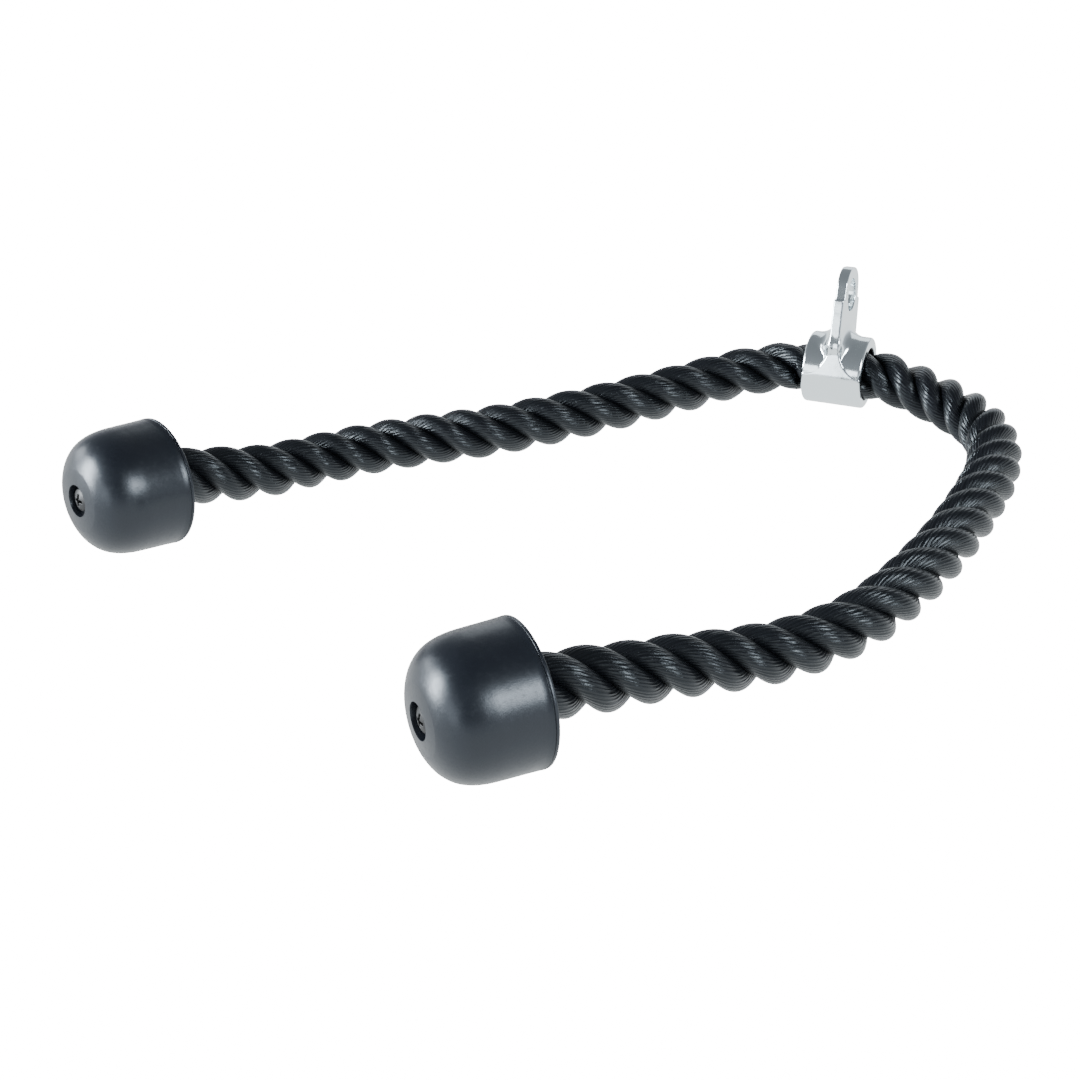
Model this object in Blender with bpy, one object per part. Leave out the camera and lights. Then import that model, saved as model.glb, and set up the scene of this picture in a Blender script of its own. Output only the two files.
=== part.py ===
"""Triceps rope attachment: a rope through a cast eye clamp, with a domed rubber cap screwed on each end.

Metres, +Z up. The clamp's collar lies along X, the rope lies on the floor z = 0 and both arms
come towards -Y. The origin is under the middle of the box round the clamp and the two caps.
"""

import math

import bpy
import numpy as np
from mathutils import Matrix, Vector

# Clearances and mesh fineness
FACE_GAP = 0.0003
CUT_OVERRUN = 0.002
ROUND_STEPS = 48
SMALL_ROUND_STEPS = 32
ROPE_RINGS = 3
FILLET_STEPS = 8
CORNER_STEPS = 16
CURVE_STEPS = 24

# Where the clamp stands, seen from the origin
CLAMP_X = 0.1404
CLAMP_Y = 0.1772

# Rope
ROPE_DIAMETER = 0.026
POINT_SPACING = 0.014
ROOT_FLEX_LENGTH = 0.044
MID_FLEX_LENGTH = 0.040
END_STUB = 0.004
COLLAR_RUN = 0.005

# Clamp: collar, web and eye, in heights above the collar's axis
COLLAR_LENGTH = 0.0316
COLLAR_WALL = 0.0048
COLLAR_MOUTH_FLARE = 0.0009
COLLAR_MOUTH_DEPTH = 0.0020
ROOF_SETBACK = 0.0001
ROOF_RISE = 0.0012
TONGUE_THICKNESS = 0.0055
TONGUE_LEAN_DEG = 18.0
WEB_SETBACK = 0.0001
WEB_TOP_HEIGHT = 0.0378
WEB_FILLET_TOP = 0.0170
WEB_FILLET_FOOT = -0.0012
EYE_HEIGHT = 0.0400
EYE_HOLE_RADIUS = 0.0084
EYE_SIDE_WALL = 0.0056
EYE_TOP_WALL = 0.0058
EYE_CORNER_RADIUS = 0.0095
EYE_HOLE_CHAMFER = 0.0006

# End cap, measured from the rim plane that faces the hand
CAP_RIM_RADIUS = 0.0299
CAP_RIM_CHAMFER = 0.0014
CAP_LENGTH = 0.0437
CAP_RECESS_RADIUS = 0.0073
CAP_RECESS_DEPTH = 0.0056
CAP_FLOOR = 0.0070
# (share of the length, share of the rim radius)
CAP_PROFILE_SHARES = (
    (0.12, 0.993),
    (0.25, 0.987),
    (0.40, 0.982),
    (0.55, 0.970),
    (0.68, 0.933),
    (0.79, 0.863),
    (0.88, 0.750),
    (0.94, 0.620),
    (0.98, 0.480),
)

# End band, screw and washer
BAND_WALL = 0.0008
BAND_LENGTH = 0.0120
BAND_MARGIN = 0.0010
SCREW_SHANK_RADIUS = 0.0025
SCREW_POINT_LENGTH = 0.0040
SCREW_TIP_SETBACK = 0.0070
SCREW_HEAD_RADIUS = 0.0053
SCREW_HEAD_HEIGHT = 0.0032
SCREW_HEAD_CROWN_SHARE = 0.45
CROSS_SPAN = 0.0058
CROSS_SLOT = 0.0012
CROSS_DEPTH = 0.0018
WASHER_RADIUS = 0.0070
WASHER_THICKNESS = 0.0012

ROPE_RADIUS = ROPE_DIAMETER / 2
COLLAR_BORE_RADIUS = ROPE_RADIUS + FACE_GAP
COLLAR_RADIUS = COLLAR_BORE_RADIUS + COLLAR_WALL
EYE_HALF_WIDTH = EYE_HOLE_RADIUS + EYE_SIDE_WALL
EYE_TOP_HEIGHT = EYE_HEIGHT + EYE_HOLE_RADIUS + EYE_TOP_WALL
CAP_SOCKET_DEPTH = CAP_LENGTH - CAP_RECESS_DEPTH - CAP_FLOOR
SCREW_HOLE_RADIUS = SCREW_SHANK_RADIUS + FACE_GAP

# Each arm's route over the floor, from the collar's mouth outwards and seen from the collar's
# middle. The last point leads into the cap's own axis.
FAR_ROUTE = (
    (-0.0290, -0.0025, 0.0171),
    (-0.0425, -0.0085, 0.0156),
    (-0.0550, -0.0172, 0.0145),
    (-0.0656, -0.0279, 0.0136),
    (-0.0851, -0.0504, 0.0131),
    (-0.1050, -0.0732, 0.0131),
    (-0.1256, -0.0945, 0.0131),
    (-0.1477, -0.1151, 0.0131),
    (-0.1719, -0.1330, 0.0131),
    (-0.1954, -0.1514, 0.0131),
    (-0.2160, -0.1732, 0.0136),
    (-0.2316, -0.1973, 0.0166),
    (-0.2466, -0.2200, 0.0229),
)
NEAR_ROUTE = (
    (0.0293, -0.0017, 0.0174),
    (0.0432, -0.0065, 0.0161),
    (0.0573, -0.0136, 0.0149),
    (0.0706, -0.0220, 0.0139),
    (0.0814, -0.0332, 0.0134),
    (0.0889, -0.0467, 0.0132),
    (0.0950, -0.0764, 0.0131),
    (0.0942, -0.1062, 0.0131),
    (0.0913, -0.1358, 0.0131),
    (0.0866, -0.1651, 0.0131),
    (0.0797, -0.1947, 0.0131),
    (0.0698, -0.2226, 0.0131),
    (0.0539, -0.2480, 0.0134),
    (0.0335, -0.2700, 0.0156),
    (0.0127, -0.2915, 0.0204),
    (-0.0040, -0.3101, 0.0240),
)
# Arm name: side of the collar, route, rim centre in plan, heading and dip of the cap's axis from
# dome to hand, straight rope at the rim, length from the collar to the middle bend
ARMS = {
    "far": (-1, FAR_ROUTE, (-0.2590, -0.2429), 65.8, -8.2, 0.0060, 0.172),
    "near": (1, NEAR_ROUTE, (-0.0293, -0.3393), 50.2, -2.8, 0.0060, 0.205),
}

CHROME = ((0.78, 0.79, 0.80), 1.0, 0.12)
STEEL = ((0.60, 0.60, 0.61), 1.0, 0.30)
RUBBER = ((0.035, 0.038, 0.045), 0.0, 0.50)
ROPE = ((0.018, 0.018, 0.021), 0.0, 0.45)


def clear_scene():
    for obj in list(bpy.data.objects):
        bpy.data.objects.remove(obj, do_unlink=True)


def finish(obj, look):
    color, metallic, roughness = look
    material = bpy.data.materials.new(obj.name)
    material.use_nodes = True
    surface = material.node_tree.nodes["Principled BSDF"]
    surface.inputs["Base Color"].default_value = (*color, 1)
    surface.inputs["Metallic"].default_value = metallic
    surface.inputs["Roughness"].default_value = roughness
    obj.data.materials.append(material)
    return obj


def mesh_object(name, points, faces, place):
    mesh = bpy.data.meshes.new(name)
    mesh.from_pydata([tuple(point) for point in points], [], faces)
    obj = bpy.data.objects.new(name, mesh)
    bpy.context.collection.objects.link(obj)
    obj.matrix_world = place
    return obj


def lathe(name, profile, place, steps=ROUND_STEPS):
    """A closed profile of (radius, height) turned round the local Z axis, anticlockwise profile facing out."""
    points, rings = [], []
    for radius, height in profile:
        count = steps if radius > 0 else 1
        rings.append([len(points) + i for i in range(count)])
        for i in range(count):
            angle = 2 * math.pi * i / steps
            points.append((radius * math.cos(angle), radius * math.sin(angle), height))
    faces = []
    for low, high in zip(rings, rings[1:] + rings[:1]):
        for i in range(steps):
            j = (i + 1) % steps
            corners = (low[i % len(low)], low[j % len(low)], high[j % len(high)], high[i % len(high)])
            ring = tuple(dict.fromkeys(corners))
            if len(ring) > 2:
                faces.append(ring)
    obj = mesh_object(name, points, faces, place)
    obj.data.shade_smooth()
    obj.data.set_sharp_from_angle(angle=math.radians(35))
    return obj


def prism(name, outline, half, place, along):
    """An outline of (u, height) made solid from -half to half along local X or local Y."""
    count = len(outline)
    ends = []
    for offset in (-half, half):
        for u, height in outline:
            ends.append((offset, u, height) if along == "X" else (u, offset, height))
    sides = [(i, (i + 1) % count, (i + 1) % count + count, i + count) for i in range(count)]
    caps = [tuple(reversed(range(count))), tuple(range(count, 2 * count))]
    faces = sides + caps
    if along == "Y":
        faces = [tuple(reversed(face)) for face in faces]
    return mesh_object(name, ends, faces, place)


def boolean(obj, operation, other):
    modifier = obj.modifiers.new(operation.lower(), "BOOLEAN")
    modifier.operation = operation
    modifier.solver = "EXACT"
    modifier.object = other
    other.hide_render = True
    other.display_type = "WIRE"


def tube(name, points, look):
    curve = bpy.data.curves.new(name, "CURVE")
    curve.dimensions = "3D"
    curve.bevel_depth = ROPE_RADIUS
    curve.bevel_resolution = ROPE_RINGS
    curve.use_fill_caps = True
    spline = curve.splines.new("POLY")
    spline.points.add(len(points) - 1)
    for slot, point in zip(spline.points, points):
        slot.co = (*point, 1)
    obj = bpy.data.objects.new(name, curve)
    bpy.context.collection.objects.link(obj)
    return finish(obj, look)


def clamp_origin():
    return Vector((CLAMP_X, CLAMP_Y, COLLAR_RADIUS))


def clamp_place():
    return Matrix.Translation(clamp_origin()) @ Matrix.Rotation(math.radians(-TONGUE_LEAN_DEG), 4, "X")


def collar_along_x():
    return clamp_place() @ Matrix.Rotation(math.radians(90), 4, "Y")


def arc(center, radius, start_deg, end_deg, steps):
    angles = np.radians(np.linspace(start_deg, end_deg, steps))
    return [(center[0] + radius * math.cos(a), center[1] + radius * math.sin(a)) for a in angles]


def clamp_outline():
    """Seen along the collar: the round belly, the straight web, its shoulder and the eye's rounded block."""
    half_web = COLLAR_RADIUS - WEB_SETBACK
    web_foot_deg = math.degrees(math.acos(half_web / COLLAR_RADIUS))
    belly = arc((0, 0), COLLAR_RADIUS, -180 - web_foot_deg, web_foot_deg, ROUND_STEPS)
    inset, height = EYE_HALF_WIDTH - EYE_CORNER_RADIUS, EYE_TOP_HEIGHT - EYE_CORNER_RADIUS
    right = [(half_web, WEB_TOP_HEIGHT), (EYE_HALF_WIDTH, WEB_TOP_HEIGHT)]
    right += arc((inset, height), EYE_CORNER_RADIUS, 0, 90, CORNER_STEPS)
    return belly + right + [(-u, height) for u, height in reversed(right)]


def web_profile():
    """Seen from the front: full length at the belly, swept up by a hollow curve to the tongue's thickness."""
    half_length, half_tongue = COLLAR_LENGTH / 2, TONGUE_THICKNESS / 2
    sweep = []
    for turn in np.radians(np.linspace(0, 90, FILLET_STEPS)):
        u = half_length - (half_length - half_tongue) * math.sin(turn)
        height = WEB_FILLET_TOP - (WEB_FILLET_TOP - WEB_FILLET_FOOT) * math.cos(turn)
        sweep.append((u, height))
    top = EYE_TOP_HEIGHT + CUT_OVERRUN
    right = [(half_length, -COLLAR_RADIUS - CUT_OVERRUN)] + sweep + [(half_tongue, top)]
    return right + [(-u, height) for u, height in reversed(right)]


def collar_bore():
    half = COLLAR_LENGTH / 2
    wide = COLLAR_BORE_RADIUS + COLLAR_MOUTH_FLARE
    neck = half - COLLAR_MOUTH_DEPTH
    end = half + CUT_OVERRUN
    profile = [(0, -end), (wide, -end), (wide, -half), (COLLAR_BORE_RADIUS, -neck)]
    profile += [(radius, -height) for radius, height in reversed(profile)]
    return lathe("collar_bore", profile, collar_along_x())


def eye_hole():
    half = TONGUE_THICKNESS / 2
    wide = EYE_HOLE_RADIUS + EYE_HOLE_CHAMFER + CUT_OVERRUN
    inner = half - EYE_HOLE_CHAMFER
    end = half + CUT_OVERRUN
    profile = [(0, -end), (wide, -end), (EYE_HOLE_RADIUS, -inner)]
    profile += [(radius, -height) for radius, height in reversed(profile)]
    place = clamp_place() @ Matrix.Translation((0, 0, EYE_HEIGHT)) @ Matrix.Rotation(math.radians(90), 4, "Y")
    return lathe("eye_hole", profile, place)


def make_eye_clamp():
    clamp = prism("eye_clamp", clamp_outline(), COLLAR_LENGTH / 2, clamp_place(), "X")
    reach = COLLAR_RADIUS + CUT_OVERRUN
    boolean(clamp, "INTERSECT", prism("web_sweep", web_profile(), reach, clamp_place(), "Y"))
    roof_radius = COLLAR_RADIUS - ROOF_SETBACK
    half = COLLAR_LENGTH / 2
    roof = [(0, -half), (roof_radius, -half), (roof_radius, half), (0, half)]
    roof_place = clamp_place() @ Matrix.Translation((0, 0, ROOF_RISE)) @ Matrix.Rotation(math.radians(90), 4, "Y")
    boolean(clamp, "UNION", lathe("collar_roof", roof, roof_place))
    boolean(clamp, "DIFFERENCE", collar_bore())
    boolean(clamp, "DIFFERENCE", eye_hole())
    return finish(clamp, CHROME)


def cap_frame(arm):
    """Rim centre and the cap's axis from dome to hand. The rim's widest ring rests on the floor."""
    rim, heading, dip = ARMS[arm][2], math.radians(ARMS[arm][3]), math.radians(ARMS[arm][4])
    height = CAP_RIM_RADIUS * math.cos(dip) + CAP_RIM_CHAMFER * math.sin(dip)
    axis = Vector((math.cos(heading) * math.cos(dip), math.sin(heading) * math.cos(dip), math.sin(dip)))
    return Vector((CLAMP_X + rim[0], CLAMP_Y + rim[1], height)), axis


def cap_place(arm):
    """Local Z runs from the rim plane to the dome."""
    center, axis = cap_frame(arm)
    return Matrix.Translation(center) @ (-axis).to_track_quat("Z", "Y").to_matrix().to_4x4()


def route_points(arm):
    side, route, _, _, _, straight, _ = ARMS[arm]
    center, axis = cap_frame(arm)
    base = Vector((CLAMP_X, CLAMP_Y, 0))
    along = Vector((side, 0, 0))
    mouth = clamp_origin() + along * (COLLAR_LENGTH / 2 + FACE_GAP / 2)
    chosen = [clamp_origin(), mouth, mouth + along * COLLAR_RUN]
    chosen += [base + Vector(point) for point in route]
    return chosen + [center + axis * straight, center, center - axis * CAP_SOCKET_DEPTH]


def smooth_route(arm):
    """A smooth curve through the chosen points, from the collar's mouth to the rim plane, with its arc length."""
    points = np.array(route_points(arm))
    span = np.linalg.norm(np.diff(points, axis=0), axis=1)[:, None]
    slope = np.diff(points, axis=0) / span
    heading = (span[:-1] * slope[1:] + span[1:] * slope[:-1]) / (span[:-1] + span[1:])
    finely = np.linspace(0, 1, CURVE_STEPS, endpoint=False)[:, None]
    square, cube = finely**2, finely**3
    curve = []
    for i in range(1, len(points) - 2):
        reach = span[i]
        curve.append(
            (2 * cube - 3 * square + 1) * points[i]
            + (cube - 2 * square + finely) * reach * heading[i - 1]
            + (3 * square - 2 * cube) * points[i + 1]
            + (cube - square) * reach * heading[i]
        )
    curve = np.vstack([*curve, points[-2]])
    steps = np.linalg.norm(np.diff(curve, axis=0), axis=1)
    return curve, np.concatenate(([0], np.cumsum(steps)))


def stretch(arm, start, end):
    """Points from start to end along the route. Each end runs straight for a stub, so that faces meet squarely."""
    curve, length = smooth_route(arm)
    count = max(3, round((end - start) / POINT_SPACING) + 1)
    places = np.linspace(start, end, count)
    places[1], places[-2] = start + END_STUB, end - END_STUB
    points = np.stack([np.interp(places, length, curve[:, i]) for i in range(3)], axis=1)
    for tip, inward in ((0, 1), (-1, -1)):
        nearby = np.clip(places[tip] + np.array([-END_STUB, END_STUB]) / 4, 0, length[-1])
        low, high = (np.array([np.interp(at, length, curve[:, i]) for i in range(3)]) for at in nearby)
        along = (high - low) / np.linalg.norm(high - low) * inward
        face = points[tip].copy()
        points[tip] = face + along * FACE_GAP / 2
        points[tip + inward] = face + along * END_STUB
    return points


def make_free_rope(arm):
    """Bend at the collar, inner stretch, bend in the middle and outer stretch, face to face."""
    total = smooth_route(arm)[1][-1]
    mid = ARMS[arm][6]
    cuts = (0, ROOT_FLEX_LENGTH, mid, mid + MID_FLEX_LENGTH, total)
    names = ("root_flex", "inner_rope", "mid_flex", "outer_rope")
    for name, start, end in zip(names, cuts, cuts[1:]):
        tube(f"{arm}_{name}", stretch(arm, start, end), ROPE)


def make_rope_core():
    half = Vector((COLLAR_LENGTH / 2, 0, 0))
    ends = [clamp_origin() - half, clamp_origin(), clamp_origin() + half]
    return tube("rope_core", ends, ROPE)


def make_rope_end(arm):
    """The cut end inside the cap: necked down under its band, with the hole that the screw makes."""
    tip = CAP_SOCKET_DEPTH - BAND_MARGIN
    band_foot = tip - BAND_MARGIN - BAND_LENGTH - FACE_GAP
    necked = ROPE_RADIUS - BAND_WALL - FACE_GAP
    hole_floor = SCREW_TIP_SETBACK - SCREW_POINT_LENGTH / 2
    profile = [
        (0, FACE_GAP),
        (ROPE_RADIUS, FACE_GAP),
        (ROPE_RADIUS, band_foot),
        (necked, band_foot),
        (necked, tip),
        (SCREW_HOLE_RADIUS, tip),
        (SCREW_HOLE_RADIUS, hole_floor),
        (0, hole_floor),
    ]
    return finish(lathe(f"{arm}_rope_end", profile, cap_place(arm), SMALL_ROUND_STEPS), ROPE)


def make_end_band(arm):
    top = CAP_SOCKET_DEPTH - 2 * BAND_MARGIN
    inner, outer = ROPE_RADIUS - BAND_WALL, ROPE_RADIUS
    profile = [(inner, top - BAND_LENGTH), (outer, top - BAND_LENGTH), (outer, top), (inner, top)]
    return finish(lathe(f"{arm}_end_band", profile, cap_place(arm), SMALL_ROUND_STEPS), STEEL)


def make_end_cap(arm):
    socket = ROPE_RADIUS + FACE_GAP
    recess_floor = CAP_LENGTH - CAP_RECESS_DEPTH
    side = [(share * CAP_RIM_RADIUS, part * CAP_LENGTH) for part, share in CAP_PROFILE_SHARES]
    profile = [
        (socket, 0),
        (CAP_RIM_RADIUS - CAP_RIM_CHAMFER, 0),
        (CAP_RIM_RADIUS, CAP_RIM_CHAMFER),
        *side,
        (CAP_RECESS_RADIUS, CAP_LENGTH),
        (CAP_RECESS_RADIUS, recess_floor),
        (SCREW_HOLE_RADIUS, recess_floor),
        (SCREW_HOLE_RADIUS, CAP_SOCKET_DEPTH),
        (socket, CAP_SOCKET_DEPTH),
    ]
    return finish(lathe(f"{arm}_end_cap", profile, cap_place(arm)), RUBBER)


def washer_seat():
    return CAP_LENGTH - CAP_RECESS_DEPTH + FACE_GAP


def make_washer(arm):
    low = washer_seat()
    high = low + WASHER_THICKNESS
    profile = [(SCREW_HOLE_RADIUS, low), (WASHER_RADIUS, low), (WASHER_RADIUS, high), (SCREW_HOLE_RADIUS, high)]
    return finish(lathe(f"{arm}_washer", profile, cap_place(arm), SMALL_ROUND_STEPS), STEEL)


def cross_cutter(arm, top):
    """Two crossed slots as one outline, let into the head from above."""
    span, slot = CROSS_SPAN / 2, CROSS_SLOT / 2
    corner = [(span, -slot), (span, slot), (slot, slot)]
    outline = []
    for quarter in range(4):
        turn = Matrix.Rotation(math.radians(90 * quarter), 2)
        outline += [tuple(turn @ Vector(point)) for point in corner]
    count = len(outline)
    points = [(x, y, top - CROSS_DEPTH) for x, y in outline]
    points += [(x, y, top + CUT_OVERRUN) for x, y in outline]
    sides = [(i, (i + 1) % count, (i + 1) % count + count, i + count) for i in range(count)]
    caps = [tuple(reversed(range(count))), tuple(range(count, 2 * count))]
    return mesh_object(f"{arm}_cross_cutter", points, sides + caps, cap_place(arm))


def make_screw(arm):
    seat = washer_seat() + WASHER_THICKNESS + FACE_GAP
    top = seat + SCREW_HEAD_HEIGHT
    crown = SCREW_HEAD_HEIGHT * SCREW_HEAD_CROWN_SHARE
    profile = [
        (0, SCREW_TIP_SETBACK),
        (SCREW_SHANK_RADIUS, SCREW_TIP_SETBACK + SCREW_POINT_LENGTH),
        (SCREW_SHANK_RADIUS, seat),
        (SCREW_HEAD_RADIUS, seat),
        (SCREW_HEAD_RADIUS, top - crown),
    ]
    for turn in np.radians(np.linspace(0, 90, FILLET_STEPS))[1:]:
        profile.append((SCREW_HEAD_RADIUS * math.cos(turn), top - crown + crown * math.sin(turn)))
    profile[-1] = (0, top)
    screw = lathe(f"{arm}_screw", profile, cap_place(arm), SMALL_ROUND_STEPS)
    boolean(screw, "DIFFERENCE", cross_cutter(arm, top))
    return finish(screw, STEEL)


clear_scene()
make_eye_clamp()
make_rope_core()
for arm_name in ARMS:
    make_free_rope(arm_name)
    make_rope_end(arm_name)
    make_end_band(arm_name)
    make_end_cap(arm_name)
    make_washer(arm_name)
    make_screw(arm_name)
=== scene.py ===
"""Triceps rope attachment: a black three-strand rope through a plated eye clamp, a rubber cap on each end.

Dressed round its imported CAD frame, in metres, +Z up. The sections follow the object as it is put together.
"""

import math

import bpy
import numpy as np
from mathutils import Matrix, Vector


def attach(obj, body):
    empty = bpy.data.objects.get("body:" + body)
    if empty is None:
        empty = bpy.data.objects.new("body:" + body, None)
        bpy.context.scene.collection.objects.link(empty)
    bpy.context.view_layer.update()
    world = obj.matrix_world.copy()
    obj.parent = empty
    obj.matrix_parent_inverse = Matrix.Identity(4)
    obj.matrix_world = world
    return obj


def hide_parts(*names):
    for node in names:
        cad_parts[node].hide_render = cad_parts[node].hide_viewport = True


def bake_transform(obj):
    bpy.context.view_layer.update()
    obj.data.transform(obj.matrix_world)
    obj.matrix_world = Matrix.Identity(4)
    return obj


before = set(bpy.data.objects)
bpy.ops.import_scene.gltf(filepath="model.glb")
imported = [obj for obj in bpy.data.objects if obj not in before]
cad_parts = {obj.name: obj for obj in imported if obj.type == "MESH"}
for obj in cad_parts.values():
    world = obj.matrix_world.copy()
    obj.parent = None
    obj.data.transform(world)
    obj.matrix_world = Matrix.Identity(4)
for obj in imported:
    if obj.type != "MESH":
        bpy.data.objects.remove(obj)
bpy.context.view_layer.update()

# The rope: one length of three-strand rope, laid right-handed from glossy black polyester yarn. It runs
# from cap to cap through the clamp, and its two arms lie on the floor in loose curves. Each arm bends at the
# clamp and in its middle, so it is made in two lengths that meet face to face.

COLLAR_CENTER = np.array((0.1404, 0.1772, 0.0181))
COLLAR_LENGTH = 0.0316
COLLAR_RUN = 0.005
FACE_GAP = 0.0003
ROPE_DIAMETER = 0.026
CAP_RIM_RADIUS = 0.0299
CAP_RIM_CHAMFER = 0.0014
CAP_SOCKET_DEPTH = 0.0311
CURVE_STEPS = 24
TANGENT_RINGS = 6

# Chosen points of each arm over the floor, seen from the clamp's middle
FAR_ROUTE = (
    (-0.0290, -0.0025, 0.0171),
    (-0.0425, -0.0085, 0.0156),
    (-0.0550, -0.0172, 0.0145),
    (-0.0656, -0.0279, 0.0136),
    (-0.0851, -0.0504, 0.0131),
    (-0.1050, -0.0732, 0.0131),
    (-0.1256, -0.0945, 0.0131),
    (-0.1477, -0.1151, 0.0131),
    (-0.1719, -0.1330, 0.0131),
    (-0.1954, -0.1514, 0.0131),
    (-0.2160, -0.1732, 0.0136),
    (-0.2316, -0.1973, 0.0166),
    (-0.2466, -0.2200, 0.0229),
)
NEAR_ROUTE = (
    (0.0293, -0.0017, 0.0174),
    (0.0432, -0.0065, 0.0161),
    (0.0573, -0.0136, 0.0149),
    (0.0706, -0.0220, 0.0139),
    (0.0814, -0.0332, 0.0134),
    (0.0889, -0.0467, 0.0132),
    (0.0950, -0.0764, 0.0131),
    (0.0942, -0.1062, 0.0131),
    (0.0913, -0.1358, 0.0131),
    (0.0866, -0.1651, 0.0131),
    (0.0797, -0.1947, 0.0131),
    (0.0698, -0.2226, 0.0131),
    (0.0539, -0.2480, 0.0134),
    (0.0335, -0.2700, 0.0156),
    (0.0127, -0.2915, 0.0204),
    (-0.0040, -0.3101, 0.0240),
)
# Side of the clamp, route, rim centre of the cap in plan from the clamp's middle, heading and dip in
# degrees of the cap's axis from dome to hand, and length of straight rope at the rim
ARMS = {
    "far": (-1, FAR_ROUTE, (-0.2590, -0.2429), 65.8, -8.2, 0.0060),
    "near": (1, NEAR_ROUTE, (-0.0293, -0.3393), 50.2, -2.8, 0.0060),
}
# Middle of the bend at the clamp, middle of the bend in the arm, and the place where the arm's two lengths
# meet, all from the collar's mouth
BENDS = {"far": (0.022, 0.192, 0.165), "near": (0.022, 0.225, 0.198)}
ROOT_BEND_LENGTH = 0.044
MIDDLE_BEND_LENGTH = 0.052

# Turn of the first strand at the collar's mouth, in degrees from straight up, then places along the arm as
# far as the rim, and the lay length at each
TURNS = {
    "far": (-74.5, (0, 0.090, 0.180, 0.270, 0.3524), (0.0590, 0.0625, 0.0560, 0.0515, 0.0635)),
    "near": (
        -89.0,
        (0, 0.060, 0.110, 0.190, 0.300, 0.4256),
        (0.0595, 0.0500, 0.0465, 0.0615, 0.0540, 0.0585),
    ),
}
STRANDS = 3
STRAND_OFFSET = 0.0066
STRAND_DEPTH = 0.0064
STRAND_WIDTH = 0.0071
STRAND_COLUMNS = 64
RING_SPACING = 0.0005
ROUTE_SPACING = 0.010
GROOVE_SEARCH_DEG, GROOVE_SAMPLES, TURN_SAMPLES = (60, 170), 4000, 2000
YARNS = 30
YARN_SPIN = 1.45
ROPE_TIP = 0.0301
ROPE_CREASE_DEG = 50
# The strands part a little before the cap, close again at its rim and are squeezed under the end band
LOOSE_SHARE, LOOSE_FROM, LOOSE_TO, SNUG_LENGTH = 0.045, 0.055, 0.030, 0.004
BANDED_SHARE, BANDED_FROM, BANDED_STEP = 0.915, 0.0168, 0.002
ROPE_SHADE, ROPE_LIGHT = (0.0016, 0.0019, 0.0028, 1), (0.0085, 0.0096, 0.0125, 1)
ROPE_SHEEN_TINT = (0.86, 0.94, 1.0, 1)


def cap_axis(arm):
    """Rim centre of the cap, and its axis as a unit vector from the dome to the hand."""
    _, _, rim, heading_deg, dip_deg, _ = ARMS[arm]
    heading, dip = math.radians(heading_deg), math.radians(dip_deg)
    height = CAP_RIM_RADIUS * math.cos(dip) + CAP_RIM_CHAMFER * math.sin(dip)
    center = np.array((COLLAR_CENTER[0] + rim[0], COLLAR_CENTER[1] + rim[1], height))
    axis = (math.cos(heading) * math.cos(dip), math.sin(heading) * math.cos(dip), math.sin(dip))
    return center, np.array(axis)


def smooth_through(chosen, steps):
    """Cubic curves through chosen points, of which the first and the last only set the end directions."""
    span = np.linalg.norm(np.diff(chosen, axis=0), axis=1)[:, None]
    slope = np.diff(chosen, axis=0) / span
    heading = (span[:-1] * slope[1:] + span[1:] * slope[:-1]) / (span[:-1] + span[1:])
    finely = np.linspace(0, 1, steps, endpoint=False)[None, :, None]
    square, cube = finely**2, finely**3
    start, end, reach = chosen[1:-2, None], chosen[2:-1, None], span[1:-1, None]
    curve = (2 * cube - 3 * square + 1) * start + (cube - 2 * square + finely) * reach * heading[:-1, None]
    curve += (3 * square - 2 * cube) * end + (cube - square) * reach * heading[1:, None]
    return np.vstack([curve.reshape(-1, chosen.shape[1]), chosen[-2]])


def arm_line(arm):
    """Centreline from the clamp's middle to the rope's tip in the cap: cubic curves through the chosen
    points, straight at both ends. Returns its points and their lengths from the collar's mouth."""
    side, route, _, _, _, straight = ARMS[arm]
    center, axis = cap_axis(arm)
    along = np.array((side, 0, 0))
    mouth = COLLAR_CENTER + along * (COLLAR_LENGTH / 2 + FACE_GAP / 2)
    floor = COLLAR_CENTER * (1, 1, 0)
    chosen = [COLLAR_CENTER, mouth, mouth + along * COLLAR_RUN, *(floor + route)]
    chosen = np.array([*chosen, center + axis * straight, center, center - axis * CAP_SOCKET_DEPTH])
    curve = smooth_through(chosen, CURVE_STEPS)[:-1]
    line = np.vstack([chosen[0], curve, center, center - axis * ROPE_TIP])
    length = np.concatenate(([0], np.cumsum(np.linalg.norm(np.diff(line, axis=0), axis=1))))
    return line, length - np.linalg.norm(mouth - COLLAR_CENTER)


def along_arm(arm, places):
    """Points, directions, up and side vectors of the centreline at these lengths, side to the right. The
    directions are its slopes, smoothed over a few rings."""
    line, length = arm_line(arm)
    fine = np.arange(length[0], length[-1], RING_SPACING / 2)
    fine = np.append(fine, length[-1])
    points = np.stack([np.interp(fine, length, column) for column in line.T], axis=1)
    padding = ((TANGENT_RINGS, TANGENT_RINGS), (0, 0))
    slope = np.pad(np.gradient(points, fine, axis=0), padding, mode="edge")
    window = np.hanning(2 * TANGENT_RINGS + 1)
    slope = np.stack([np.convolve(column, window / window.sum(), "valid") for column in slope.T], axis=1)
    point = np.stack([np.interp(places, fine, column) for column in points.T], axis=1)
    direction = np.stack([np.interp(places, fine, column) for column in slope.T], axis=1)
    direction /= np.linalg.norm(direction, axis=1)[:, None]
    side = np.cross(direction, (0, 0, 1))
    side /= np.linalg.norm(side, axis=1)[:, None]
    return point, direction, np.cross(side, direction), side


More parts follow.
